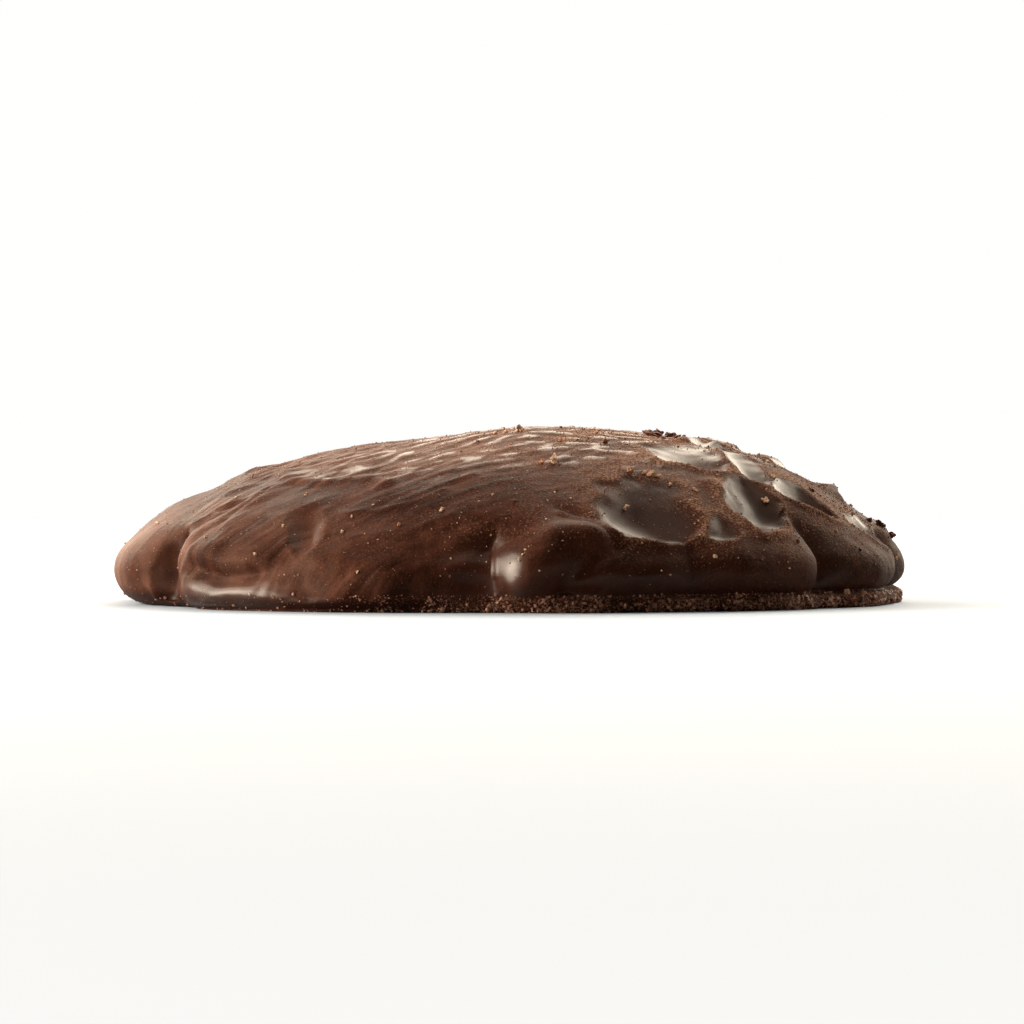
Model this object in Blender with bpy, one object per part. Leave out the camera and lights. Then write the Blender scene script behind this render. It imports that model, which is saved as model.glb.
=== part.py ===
"""Mint chocolate cookie: one domed, scalloped biscuit in a dark chocolate coat.

Units are metres, +Z is up. The cookie lies flat, and its centre is over the
origin, with the underside at z = 0. A bearing is an angle about +Z in degrees:
0 faces -Y, which is the front, and it grows towards +X. A reach is the distance
in millimetres from the top centre, measured down over the bare dome.
"""

from collections import namedtuple
import math

import bmesh
import bpy
import numpy as np
from mathutils import Vector, noise

MM = 0.001

# Driving dimensions
DIAMETER = 60.0 * MM
HEIGHT = 13.6 * MM
WAIST_HEIGHT = 2.7 * MM         # the widest line, above the underside

# The dome is a lens whose edge is rounded. Of the lens, radius is in proportion
# to (1 - rise ** CROWN_POWER) ** (1 / SHOULDER_POWER), with rise from 1 to 0
RADIUS = DIAMETER / 2
EDGE_ROUND = 2.2 * MM
CROWN_POWER = 1.15
SHOULDER_POWER = 2.65

# Below the waist the lobes tuck in, down to the thin plate that set round the foot
TUCK = 2.6 * MM
PLATE_HEIGHT = 1.1 * MM
PLATE_RADIUS = 28.95 * MM
PLATE_SHIFT = 0.85 * MM         # the plate lies this far towards +X
PLATE_ROUND = 0.45 * MM         # its edge is rounded in by this much
PLATE_BLEND = 0.3 * MM
LOBE_FOOT = 0.45 * MM           # the lobes end this high, less on the left
RELIEF_START = 0.5 * MM         # relief fades in between these two heights
RELIEF_FULL = 1.8 * MM

# Scallops: the creases between the thirteen lobes. start is the reach where one
# begins on the dome, depth is its depth at the waist in millimetres, and lean is
# positive where the lobe at the larger bearing stands steep over the other
Crease = namedtuple("Crease", "bearing start depth lean")
CREASES = (
    Crease(-86.0, 24.0, 2.0, 0.4),
    Crease(-58.5, 26.0, 2.2, 0.8),
    Crease(-31.0, 17.5, 1.3, 0.3),
    Crease(-2.4, 27.0, 2.3, 1.0),
    Crease(26.8, 28.5, 1.5, 0.0),
    Crease(52.0, 25.5, 2.4, -1.0),
    Crease(80.0, 27.0, 1.6, -0.5),
    Crease(105.5, 25.0, 2.3, 0.6),
    Crease(133.0, 22.0, 2.0, -0.4),
    Crease(160.5, 25.5, 2.5, 0.8),
    Crease(189.0, 21.0, 2.1, 0.3),
    Crease(217.0, 25.0, 2.4, -0.7),
    Crease(245.5, 21.5, 2.0, 0.5),
)
CREASE_FULL = 32.0              # reach from which a crease is at full depth
CREASE_POWER = 2.6              # of the valley's slope, from lobe to crease
CREASE_LEAN = 0.45              # share of that power which a full lean adds
CREASE_ROUND = 0.06             # of half a lobe
PLATE_SHARE = 0.35              # of a crease's depth that the plate follows

# Hollows, as pressed with a thumb that slid down the dome. turn swings the lower
# end, which is the steep one, towards a smaller bearing
Hollow = namedtuple("Hollow", "bearing reach across up down turn depth")
HOLLOWS = (
    Hollow(23.5, 27.2, 3.9, 5.6, 3.0, 14.0, 0.85),     # the large pocket in front
    Hollow(44.0, 19.6, 3.4, 5.6, 2.6, 40.0, 0.80),
    Hollow(44.0, 27.4, 2.6, 5.6, 2.8, 14.0, 0.90),
    Hollow(36.0, 29.6, 2.2, 2.4, 1.4, 0.0, 0.30),
    Hollow(57.0, 22.6, 1.6, 6.0, 2.4, 26.0, 0.60),
    Hollow(58.0, 27.0, 3.4, 3.2, 2.0, 24.0, 0.75),
    Hollow(74.0, 29.4, 2.4, 3.4, 1.6, 22.0, 0.65),
    Hollow(70.0, 17.6, 2.6, 4.6, 2.2, 36.0, 0.50),
    Hollow(83.0, 23.4, 3.4, 4.0, 2.2, 30.0, 0.70),
    Hollow(103.0, 27.2, 3.0, 4.0, 2.6, 12.0, 0.80),
    Hollow(112.0, 18.8, 3.2, 4.4, 2.4, -20.0, 0.60),
    Hollow(130.0, 26.4, 2.8, 5.0, 2.8, 8.0, 0.85),
    Hollow(150.0, 21.0, 3.8, 4.0, 2.4, -25.0, 0.55),
    Hollow(160.0, 28.6, 3.2, 3.2, 2.0, 0.0, 0.65),
    Hollow(186.0, 25.5, 3.4, 4.4, 2.6, 15.0, 0.60),
    Hollow(-30.5, 27.4, 1.8, 4.2, 2.0, -24.0, 0.40),   # the notch over a left crease
    Hollow(-52.0, 26.4, 1.2, 3.4, 2.8, 34.0, 0.30),
    Hollow(-15.0, 31.6, 5.5, 5.0, 2.6, -8.0, 0.35),    # the sunk side of the front lobe
    Hollow(214.0, 30.0, 3.6, 3.0, 1.6, -10.0, 0.50),
    Hollow(262.0, 28.5, 2.6, 3.6, 2.0, 12.0, 0.45),
)
HOLLOW_LIP = 0.22               # crest beyond the steep end, as a share of the depth
HOLLOW_LIP_WIDTH = 0.30         # of the hollow's own half length

# Ridges, knobs and rolls that stand proud, each along (bearing, reach) points.
# One of negative height is a groove
Ridge = namedtuple("Ridge", "points width height")
RIDGES = (
    Ridge(((2.5, 31.6), (6.0, 32.4)), 2.9, 0.95),                      # knob in the middle
    Ridge(((15.5, 29.6), (12.0, 31.4), (9.0, 33.4)), 0.8, 0.35),
    Ridge(((-53.0, 35.0), (-42.0, 35.3), (-24.0, 35.0)), 0.7, 0.45),   # roll along the foot
    Ridge(((-53.0, 33.4), (-45.0, 34.2), (-37.0, 33.5), (-30.5, 31.6)), 0.6, -0.50),
    Ridge(((-51.0, 31.6), (-43.0, 31.6), (-36.0, 30.0)), 1.6, 0.45),   # swell of the left lobe
    Ridge(((-57.5, 34.2), (-54.0, 31.0), (-50.0, 28.0)), 0.8, 0.30),
    Ridge(((-51.0, 27.0), (-46.0, 24.0), (-45.0, 21.5)), 0.8, 0.25),
    Ridge(((-29.0, 31.8), (-20.0, 33.0), (-9.0, 33.6)), 0.9, 0.40),
    Ridge(((-24.0, 34.4), (-12.0, 34.6), (-4.0, 34.6)), 0.7, -0.30),
    Ridge(((-58.0, 19.6), (-44.0, 20.6), (-26.0, 21.2)), 0.7, 0.20),   # ledge on the left
    Ridge(((40.0, 23.6), (43.5, 25.4)), 1.0, 0.35),
    Ridge(((118.0, 21.5), (122.0, 26.0), (117.0, 29.5)), 1.2, 0.35),
    Ridge(((172.0, 21.0), (176.0, 26.0), (172.0, 30.0)), 1.3, 0.40),
    Ridge(((205.0, 21.0), (226.0, 24.0), (232.0, 28.5)), 1.4, 0.40),
    Ridge(((262.0, 20.0), (250.0, 24.0), (252.0, 28.0)), 1.3, 0.40),
)

# Unevenness: the marks wander sideways, and the whole coat swells slowly
WANDER = 1.5 * MM
WANDER_SPAN = 5.0 * MM
SWELL = 0.30 * MM
SWELL_SPAN = 9.0 * MM
RAGGED = 0.30 * MM
RAGGED_SPAN = 3.0 * MM
NOISE_SEED = 11

# Mesh: a square grid drawn out into rings, so that no ring is crowded
DOME_RINGS = 25
FOOT_RINGS = 7
RINGS = DOME_RINGS + FOOT_RINGS

CHOCOLATE = (0.055, 0.022, 0.014, 1.0)
CHOCOLATE_ROUGHNESS = 0.38


def smooth_step(value, start, end):
    """0 before start and 1 after end, with a smooth rise between them."""
    t = np.clip((value - start) / (end - start), 0.0, 1.0)
    return t * t * (3.0 - 2.0 * t)


def smooth_max(first, second, blend):
    """The larger of two values, rounded over where they are nearly equal."""
    return 0.5 * (first + second + np.sqrt((first - second) ** 2 + blend ** 2))


def turned(bearing, middle):
    """The bearing in radians from a middle in degrees, between -pi and pi."""
    return (bearing - math.radians(middle) + math.pi) % (2 * math.pi) - math.pi


def wander(points, span):
    """Three smooth, uneven values at each point, which change over the span."""
    noise.seed_set(NOISE_SEED)
    return np.array([noise.noise_vector(Vector(point / span)) for point in points])


def dome_section():
    """Radius, height, reach and outward normal, from the top centre to the waist."""
    rise = np.concatenate((np.linspace(1.0, 0.02, 1500), np.geomspace(0.02, 1e-6, 500)))
    radius = (RADIUS - EDGE_ROUND) * (1.0 - rise ** CROWN_POWER) ** (1.0 / SHOULDER_POWER)
    height = WAIST_HEIGHT + (HEIGHT - WAIST_HEIGHT - EDGE_ROUND) * rise
    angle = np.arctan2(np.gradient(radius), -np.gradient(height))
    angle[0] = math.pi / 2
    rest = np.linspace(angle[-1], 0.0, 60)
    radius = np.concatenate((radius, np.full(60, RADIUS - EDGE_ROUND)))
    height = np.concatenate((height, np.full(60, WAIST_HEIGHT)))
    angle = np.concatenate((angle, rest))
    radius += EDGE_ROUND * np.cos(angle)
    height += EDGE_ROUND * np.sin(angle)
    reach = np.concatenate(([0.0], np.cumsum(np.hypot(np.diff(radius), np.diff(height)))))
    return radius, height, reach, angle


def foot_radius(height, bearing, ragged):
    """Radius below the waist: the lobe's tuck, or the plate where that is wider."""
    side = np.sin(bearing)
    lobe_foot = LOBE_FOOT * (1.0 + side)
    below = np.clip((WAIST_HEIGHT - height) / (WAIST_HEIGHT - lobe_foot), 0.0, 1.0)
    lobe = RADIUS - TUCK * (1.0 - np.sqrt(1.0 - below ** 2))
    middle = PLATE_HEIGHT / 2
    plate = PLATE_RADIUS + PLATE_SHIFT * side + ragged
    plate = plate - PLATE_ROUND * (np.abs(height - middle) / middle) ** 4
    return smooth_max(lobe, plate, PLATE_BLEND)


def bare_form(bearing, ring):
    """Radius, height, reach and normal angle of the form before any relief.

    ring counts from 0 at the top centre, over DOME_RINGS at the waist, to RINGS
    at the underside.
    """
    radius, height, reach, angle = dome_section()
    dome_reach = reach[-1] * np.clip(ring / DOME_RINGS, 0.0, 1.0)
    foot = np.clip((ring - DOME_RINGS) / FOOT_RINGS, 0.0, 1.0)
    foot_height = WAIST_HEIGHT * (1.0 - np.sin(foot * math.pi / 2))
    edge = np.column_stack((np.sin(bearing), -np.cos(bearing), np.zeros_like(bearing)))
    ragged = RAGGED * wander(edge * RADIUS, RAGGED_SPAN)[:, 0]
    in_foot = ring > DOME_RINGS
    point_radius = np.interp(dome_reach, reach, radius)
    point_radius = np.where(in_foot, foot_radius(foot_height, bearing, ragged), point_radius)
    point_height = np.where(in_foot, foot_height, np.interp(dome_reach, reach, height))
    point_angle = np.where(in_foot, 0.0, np.interp(dome_reach, reach, angle))
    point_reach = dome_reach + np.where(in_foot, WAIST_HEIGHT - foot_height, 0.0)
    return point_radius, point_height, point_reach, point_angle


def crease_depth(bearing, reach, height):
    """How far the scallops draw the side in towards the axis."""
    deepest = np.zeros_like(bearing)
    for index, crease in enumerate(CREASES):
        before = CREASES[index - 1].bearing
        after = CREASES[(index + 1) % len(CREASES)].bearing
        half_before = math.radians((crease.bearing - before) % 360.0) / 2
        half_after = math.radians((after - crease.bearing) % 360.0) / 2
        angle = turned(bearing, crease.bearing)
        share = np.abs(angle) / np.where(angle < 0.0, half_before, half_after)
        share = np.clip(np.hypot(share, CREASE_ROUND), 0.0, 1.0)
        power = CREASE_POWER * (1.0 + CREASE_LEAN * crease.lean * np.sign(angle))
        valley = crease.depth * MM * (1.0 - share) ** power
        climb = smooth_step(reach, crease.start * MM, CREASE_FULL * MM)
        deepest = np.maximum(deepest, valley * climb)
    at_plate = PLATE_SHARE + (1.0 - PLATE_SHARE) * smooth_step(height, 0.0, WAIST_HEIGHT)
    return deepest * at_plate


def hollow_depth(bearing, reach, radius):
    """Depth of the pressed hollows: where two meet, a sharp ridge stays between."""
    deepest = np.zeros_like(bearing)
    crest = np.zeros_like(bearing)
    for hollow in HOLLOWS:
        sideways = turned(bearing, hollow.bearing) * radius / MM
        down = reach / MM - hollow.reach
        turn = math.radians(hollow.turn)
        across = (sideways * math.cos(turn) + down * math.sin(turn)) / hollow.across
        along = down * math.cos(turn) - sideways * math.sin(turn)
        along /= np.where(along > 0.0, hollow.down, hollow.up)
        off = np.hypot(across, along)
        steep = 0.5 + 0.5 * along / np.maximum(off, 0.2)
        bowl = np.clip(1.0 - off ** 2, 0.0, 1.0) ** (2.0 - steep)
        deepest = np.maximum(deepest, hollow.depth * MM * bowl)
        beyond = np.exp(-((off - 1.0) / HOLLOW_LIP_WIDTH) ** 2)
        crest = np.maximum(crest, HOLLOW_LIP * hollow.depth * MM * beyond * steep ** 2)
    return deepest - crest


def ridge_height(bearing, reach, radius):
    """Height of the ridges, knobs and rolls above the coat."""
    total = np.zeros_like(bearing)
    for ridge in RIDGES:
        nearest = np.full_like(bearing, np.inf)
        for (start, start_reach), (end, end_reach) in zip(ridge.points, ridge.points[1:]):
            sideways = turned(bearing, start) * radius / MM
            down = reach / MM - start_reach
            run = math.radians(end - start) * radius / MM
            drop = end_reach - start_reach
            share = np.clip((sideways * run + down * drop) / (run ** 2 + drop ** 2), 0.0, 1.0)
            gap = np.hypot(sideways - share * run, down - share * drop)
            nearest = np.minimum(nearest, gap)
        total += ridge.height * MM * np.exp(-(nearest / ridge.width) ** 2)
    return total


def coat_points(bearing, ring):
    """Points of the finished coat, for arrays of bearings and ring numbers."""
    radius, height, reach, angle = bare_form(bearing, ring)
    facing = np.column_stack((np.sin(bearing), -np.cos(bearing)))
    bare = np.column_stack((facing * radius[:, None], height))
    drift = WANDER * wander(bare, WANDER_SPAN)
    local_radius = np.maximum(radius, 4.0 * MM)
    mark_bearing = bearing + drift[:, 0] / local_radius
    mark_reach = reach + drift[:, 1]
    relief = ridge_height(mark_bearing, mark_reach, local_radius)
    relief -= hollow_depth(mark_bearing, mark_reach, local_radius)
    relief += SWELL * wander(bare, SWELL_SPAN)[:, 2]
    relief *= smooth_step(height, RELIEF_START, RELIEF_FULL)
    radius = radius - crease_depth(mark_bearing, reach, height) + relief * np.cos(angle)
    height = height + relief * np.sin(angle)
    return np.column_stack((facing * radius[:, None], height))


def ring_and_bearing(flat):
    """Ring number and bearing of each point of a square grid from -1 to 1."""
    x, y = flat[:, 0], flat[:, 1]
    ring = np.maximum(np.abs(x), np.abs(y))
    safe = np.where(ring > 0.0, ring, 1.0)
    quarter = math.pi / 4
    sides = (
        (-y >= ring, quarter * x / safe),
        (x >= ring, math.pi / 2 + quarter * y / safe),
        (y >= ring, math.pi - quarter * x / safe),
        (-x >= ring, -math.pi / 2 - quarter * y / safe),
    )
    bearing = np.select([side for side, _ in sides], [angle for _, angle in sides])
    return ring * RINGS, bearing


def centred(points):
    """The points moved so that the middle of their box is over the origin."""
    middle = (points.min(axis=0) + points.max(axis=0)) / 2
    return points - np.array((middle[0], middle[1], 0.0))


def chocolate_material():
    """Dark chocolate with a satin gloss."""
    material = bpy.data.materials.new("dark_chocolate")
    material.use_nodes = True
    shader = material.node_tree.nodes["Principled BSDF"]
    shader.inputs["Base Color"].default_value = CHOCOLATE
    shader.inputs["Roughness"].default_value = CHOCOLATE_ROUGHNESS
    shader.inputs["Metallic"].default_value = 0.0
    material.diffuse_color = CHOCOLATE
    return material


def build_cookie():
    """The whole cookie as one closed solid, resting on its flat underside."""
    mesh = bpy.data.meshes.new("cookie")
    form = bmesh.new()
    bmesh.ops.create_grid(form, x_segments=2 * RINGS, y_segments=2 * RINGS, size=1.0)
    flat = np.array([vert.co[:2] for vert in form.verts])
    flat = np.round(flat * RINGS) / RINGS
    ring, bearing = ring_and_bearing(flat)
    for vert, point in zip(form.verts, centred(coat_points(bearing, ring))):
        vert.co = point
    rim = [edge for edge in form.edges if edge.is_boundary]
    bmesh.ops.contextual_create(form, geom=rim)
    bmesh.ops.recalc_face_normals(form, faces=form.faces)
    form.to_mesh(mesh)
    form.free()
    mesh.shade_smooth()
    mesh.materials.append(chocolate_material())
    cookie = bpy.data.objects.new("cookie", mesh)
    bpy.context.scene.collection.objects.link(cookie)
    return cookie


def main():
    """Empty the scene and model the cookie."""
    for old in list(bpy.data.objects):
        bpy.data.objects.remove(old, do_unlink=True)
    build_cookie()


main()
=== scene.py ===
"""Mint chocolate cookie: its looks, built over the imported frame.

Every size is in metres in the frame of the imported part, except where a name or
a note says millimetres. A bearing is an angle about +Z in degrees: 0 faces -Y,
which is the front, and it grows towards +X. A reach is the distance in
millimetres from the top centre, measured down over the bare dome.
"""

from __future__ import annotations

import logging
import math
from dataclasses import dataclass, field
from enum import Enum
from typing import Any, Callable, Mapping, NamedTuple, Sequence

import bpy
import numpy as np
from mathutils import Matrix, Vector, noise

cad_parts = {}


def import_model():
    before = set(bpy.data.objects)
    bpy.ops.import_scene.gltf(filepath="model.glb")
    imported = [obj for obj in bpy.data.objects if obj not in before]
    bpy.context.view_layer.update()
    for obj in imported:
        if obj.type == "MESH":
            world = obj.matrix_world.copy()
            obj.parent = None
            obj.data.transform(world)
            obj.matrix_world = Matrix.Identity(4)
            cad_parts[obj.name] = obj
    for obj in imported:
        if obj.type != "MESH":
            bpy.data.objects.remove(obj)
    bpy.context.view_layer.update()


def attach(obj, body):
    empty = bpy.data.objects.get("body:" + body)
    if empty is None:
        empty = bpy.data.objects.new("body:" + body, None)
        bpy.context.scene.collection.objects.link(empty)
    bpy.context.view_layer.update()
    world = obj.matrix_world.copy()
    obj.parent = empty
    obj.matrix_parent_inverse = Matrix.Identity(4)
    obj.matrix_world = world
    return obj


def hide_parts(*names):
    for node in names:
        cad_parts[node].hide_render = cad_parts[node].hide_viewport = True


MM = 0.001
BODY = "root"
NODE = "cookie"
NOISE_SEED = 11
LEAST_LENGTH = 1e-12

Colour = tuple[float, float, float]
log = logging.getLogger("cookie")


# ---------------- small maths


class Zone(NamedTuple):
    """A stretch of bearings, in degrees: power is higher where its ends are sharper."""

    middle: float
    width: float
    power: int = 2


CRUMBLY_FRONT = Zone(28.0, 46.0, 4)
CRUMBLY_RIGHT = Zone(84.0, 30.0, 4)
CRUMBLY_BACK = (105.0, 140.0)       # how far round it starts, and where it is full
FILLED_FOOT = Zone(-35.0, 20.0, 4)
LOW_SHELVES = Zone(-55.0, 38.0)
FACING_LEFT = Zone(-90.0, 42.0, 4)
BRUSHED_SIDE = Zone(-34.0, 36.0)
# The left lobes, painted paler as if lit from the left
PAINTED_LIT_LOBES = Zone(-72.0, 38.0)
GLOSSY_FRONT = Zone(16.0, 25.0)
WET_ROLL = Zone(-42.0, 9.5, 4)
WET_KNOB = Zone(-0.1, 2.6, 4)
MATT_CREASES = Zone(-46.0, 34.0, 4)
DUSTY_SHOULDER = Zone(54.0, 43.0)


def smooth_step(value: np.ndarray, start: float, end: float) -> np.ndarray:
    """0 before start and 1 after end, with a smooth rise between them."""
    t = np.clip((value - start) / (end - start), 0.0, 1.0)
    return t * t * (3.0 - 2.0 * t)


def step_mm(value: np.ndarray, start: float, end: float) -> np.ndarray:
    """As smooth_step, for a value in metres and a start and end in millimetres."""
    return smooth_step(value, start * MM, end * MM)


def smooth_max(first: np.ndarray, second: np.ndarray, blend: float) -> np.ndarray:
    """The larger of two values, rounded over where they are nearly equal."""
    return 0.5 * (first + second + np.sqrt((first - second) ** 2 + blend**2))


def turned(bearing: np.ndarray, middle: float) -> np.ndarray:
    """The bearing in radians from a middle in degrees, between -pi and pi."""
    return (bearing - math.radians(middle) + math.pi) % (2 * math.pi) - math.pi


def around(bearing: np.ndarray, zone: Zone) -> np.ndarray:
    """1 in the middle of a zone, and 1/e at its width to either side."""
    return np.exp(-((turned(bearing, zone.middle) / math.radians(zone.width)) ** zone.power))


def crumbly(bearing: np.ndarray) -> np.ndarray:
    """How crumbly the foot is there, from 0 to 1: least on the left of the front."""
    front, right = around(bearing, CRUMBLY_FRONT), around(bearing, CRUMBLY_RIGHT)
    away = np.abs(turned(bearing, 0.0))
    back = 0.6 * smooth_step(away, *np.radians(CRUMBLY_BACK))
    return np.maximum(np.maximum(front, right), back)


def clearance(bearing: np.ndarray) -> np.ndarray:
    """Scale of the heights where relief and gloss begin: they begin lower on a clean foot."""
    return 0.3 + 0.7 * crumbly(bearing)


def wander(points: np.ndarray, span: float) -> np.ndarray:
    """Three smooth, uneven values at each point, which change over the span."""
    return np.array([noise.noise_vector(Vector(point / span)) for point in points])


def uneven(
    points: np.ndarray, spans: float | Sequence[float], shift: float = 0.0
) -> np.ndarray:
    """One smooth, uneven value at each point.

    Args:
        points: Places, one row each.
        spans: Distance over which the value changes, or one for each axis.
        shift: Moves the pattern, so that two patterns of one span differ.

    Returns:
        One value for each point, mostly from -0.6 to 0.6.
    """
    scaled = points / np.array(spans) + shift
    return np.array([noise.noise(Vector(point)) for point in scaled])


# ---------------- shader graph


class Graph:
    """The nodes of one material or world, and the one way to add to them."""

    def __init__(self, tree: bpy.types.NodeTree) -> None:
        """Keep the tree."""
        self.tree = tree

    @classmethod
    def of_material(cls, name: str) -> tuple[bpy.types.Material, Graph, bpy.types.Node]:
        """Make a material.

        Args:
            name: What it is called.

        Returns:
            The material, its graph and its Principled shader.
        """
        material = bpy.data.materials.new(name)
        material.use_nodes = True
        nodes = material.node_tree.nodes
        return material, cls(material.node_tree), nodes["Principled BSDF"]

    def feed(self, node: bpy.types.Node, values: Mapping[str | int, Any]) -> None:
        """Fill sockets of a node.

        Args:
            node: The node.
            values: What goes into each socket: a Signal, an output socket, or a
                plain value.
        """
        for key, value in values.items():
            socket = node.inputs[key]
            if isinstance(value, Signal):
                value = value.socket
            if isinstance(value, bpy.types.NodeSocket):
                self.tree.links.new(value, socket)
            else:
                socket.default_value = value

    def add(
        self,
        kind: str,
        settings: Mapping[str, Any] | None = None,
        values: Mapping[str | int, Any] | None = None,
    ) -> bpy.types.Node:
        """Add a node.

        Args:
            kind: The node's type, without its ShaderNode prefix.
            settings: Its settings, which are set first.
            values: As for feed.

        Returns:
            The node.
        """
        node = self.tree.nodes.new("ShaderNode" + kind)
        for name, setting in (settings or {}).items():
            setattr(node, name, setting)
        self.feed(node, values or {})
        return node

    def signal(
        self,
        kind: str,
        settings: Mapping[str, Any] | None = None,
        values: Mapping[str | int, Any] | None = None,
        output: str | int = 0,
    ) -> Signal:
        """Add a node, as add does, and wrap the output of a name or number for maths."""
        return Signal(self, self.add(kind, settings, values).outputs[output])

    def attribute(self, name: str) -> Signal:
        """The value of a mesh attribute."""
        return self.signal("Attribute", {"attribute_name": name}, output="Fac")

    def blend(self, share: Number, first: Any, second: Any) -> bpy.types.NodeSocket:
        """A colour between two.

        Args:
            share: 0 for the first, 1 for the second.
            first: A colour or a colour socket.
            second: A colour or a colour socket.

        Returns:
            The colour socket.
        """
        first, second = (
            (*colour, 1.0) if isinstance(colour, tuple) else colour for colour in (first, second)
        )
        settings = {"data_type": "RGBA", "clamp_factor": True}
        return self.add("Mix", settings, {0: share, 6: first, 7: second}).outputs[2]


def maths(operation: str, swapped: bool = False) -> Callable[[Signal, Number], Signal]:
    """Make an operator for signals.

    Args:
        operation: The operation of the Math node that it adds.
        swapped: Whether the signal comes second.

    Returns:
        The operator.
    """

    def operator(signal: Signal, other: Number) -> Signal:
        """Work on a signal and another one or a number."""
        pair = (other, signal) if swapped else (signal, other)
        return signal.graph.signal("Math", {"operation": operation}, dict(enumerate(pair)))

    return operator


@dataclass(frozen=True)
class Signal:
    """A number that changes over a surface: one output socket, with maths."""

    graph: Graph
    socket: bpy.types.NodeSocket

    __add__ = maths("ADD")
    __radd__ = maths("ADD", swapped=True)
    __sub__ = maths("SUBTRACT")
    __rsub__ = maths("SUBTRACT", swapped=True)
    __mul__ = maths("MULTIPLY")
    __rmul__ = maths("MULTIPLY", swapped=True)

    def within(self, low: float, high: float) -> Signal:
        """0 below low, 1 above high, and a smooth rise between them."""
        settings = {"interpolation_type": "SMOOTHSTEP", "clamp": True}
        values = {"Value": self, "From Min": low, "From Max": high}
        return self.graph.signal("MapRange", settings, values)


Number = Signal | float


# ---------------- finishes


class Pattern(NamedTuple):
    """A noise pattern: how often it repeats in a metre, and how fine its detail is."""

    scale: float
    detail: float
    roughness: float = 0.55

    def signal(self, graph: Graph, place: bpy.types.NodeSocket) -> Signal:
        """The noise at a place, from about 0.2 to 0.8."""
        values = {"Scale": self.scale, "Detail": self.detail, "Roughness": self.roughness}
        return graph.signal("TexNoise", None, {"Vector": place, **values})


@dataclass(frozen=True)
class DarkChocolate:
    """The coat: satin where it was rubbed, glossy in its hollows, dusted, and with painted light and
    shade in its colour.
    """

    deep: Colour = (0.034, 0.0088, 0.0048)
    warm: Colour = (0.195, 0.067, 0.040)
    # Pale colour of real bloom, also used as painted light on the left lobes and the top
    bloom_and_painted_light_colour: Colour = (0.275, 0.150, 0.116)
    powder: Colour = (0.500, 0.290, 0.200)
    speck: Colour = (0.62, 0.40, 0.30)
    sheen_tint: Colour = (1.0, 0.84, 0.68)
    sheen: float = 0.075
    satin: float = 0.56             # the roughness of a matt place
    gloss: float = 0.46             # the roughness of a glossy one
    polish: float = 0.50            # of the clear shine over the glossy places
    polish_roughness: float = 0.27
    drawn_out: float = 0.13         # how slowly a streak changes along its length
    # Heights over which the painted shade at the bottom of the coat fades out
    foot_band: tuple[float, float] = (0.5 * MM, 1.2 * MM)
    tone: Pattern = Pattern(150.0, 2.0)
    mottle: Pattern = Pattern(1000.0, 3.0)
    streak: Pattern = Pattern(700.0, 3.0)
    hair: Pattern = Pattern(2600.0, 2.0)
    grain: Pattern = Pattern(6400.0, 2.0)
    cloud: Pattern = Pattern(420.0, 2.0)
    speckle: Pattern = Pattern(6200.0, 1.0)

    def material(self) -> bpy.types.Material:
        """Make the material."""
        material, graph, shader = Graph.of_material("dark_chocolate_coat")
        place = graph.add("TexCoord").outputs["Object"]
        flow = graph.add("Attribute", {"attribute_name": "flow"}).outputs["Vector"]
        scale = (self.drawn_out, 1.0, 1.0)
        drawn = graph.add("Mapping", None, {"Vector": flow, "Scale": scale}).outputs[0]
        height_above = graph.signal("SeparateXYZ", None, {0: place}, "Z")
        gloss, dust, brushed, bloom_and_painted_light = map(graph.attribute, ("gloss", "dust", "brushed", "bloom_and_painted_light"))
        still = (self.tone, self.mottle, self.grain, self.cloud, self.speckle)
        tone, mottle, grain, cloud, speckle = (pattern.signal(graph, place) for pattern in still)
        streak, hair = (pattern.signal(graph, drawn) for pattern in (self.streak, self.hair))

        powder = (grain + (cloud - 0.5) * 0.25 + dust * 0.12).within(0.57, 0.68) * dust
        specks = (speckle + dust * 0.03).within(0.75, 0.79)
        matt = 1.0 - gloss.within(0.0, 1.0) * 0.85
        strokes = ((streak - 0.5) * 1.8 + (hair - 0.5) * 0.5) * brushed
        flecks = strokes + (mottle - 0.5) * 0.7 + (grain - 0.5) * 0.5
        # 1 low on the foot, where the colour is darkened: painted shade
        foot = 1.0 - height_above.within(*self.foot_band)
        warmth = 0.16 + (tone - 0.5) * 0.7 + flecks * matt
        # The pale share lightens the colour here and below: real bloom, and painted light on the left
        # lobes and the top
        warmth = warmth + bloom_and_painted_light * 0.26 + dust * 0.50 - foot * 0.34
        colour = graph.blend(warmth, self.deep, self.warm)
        colour = graph.blend((0.62 + flecks * 0.7) * bloom_and_painted_light, colour, self.bloom_and_painted_light_colour)
        colour = graph.blend(powder * 0.85, colour, self.powder)
        colour = graph.blend(specks, colour, self.speck)

        rough = self.satin + (1.0 - matt) * (self.gloss - self.satin) + strokes * 0.16
        rough = rough + (mottle - 0.5) * 0.16 + powder * 0.2 + specks * 0.2 + dust * 0.15
        wet = (gloss - 0.12) * (1.0 - powder) * (0.7 + mottle * 0.8)
        shine = graph.signal("Clamp", None, {0: wet * self.polish})

        # Heights in millimetres
        height = grain * 0.036 + (hair * 0.006 + streak * 0.06) * brushed + mottle * 0.05
        height = height * matt + mottle * 0.012 + powder * 0.035 + specks * 0.03
        bump = graph.add("Bump", None, {"Strength": 1.0, "Distance": MM, "Height": height})
        graph.feed(shader, {
            "Base Color": colour,
            "Roughness": rough,
            "Coat Weight": shine,
            "Coat Roughness": self.polish_roughness,
            "Normal": bump.outputs[0],
            "Specular IOR Level": self.sheen,
            "Specular Tint": (*self.sheen_tint, 1.0),
        })
        return material


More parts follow.
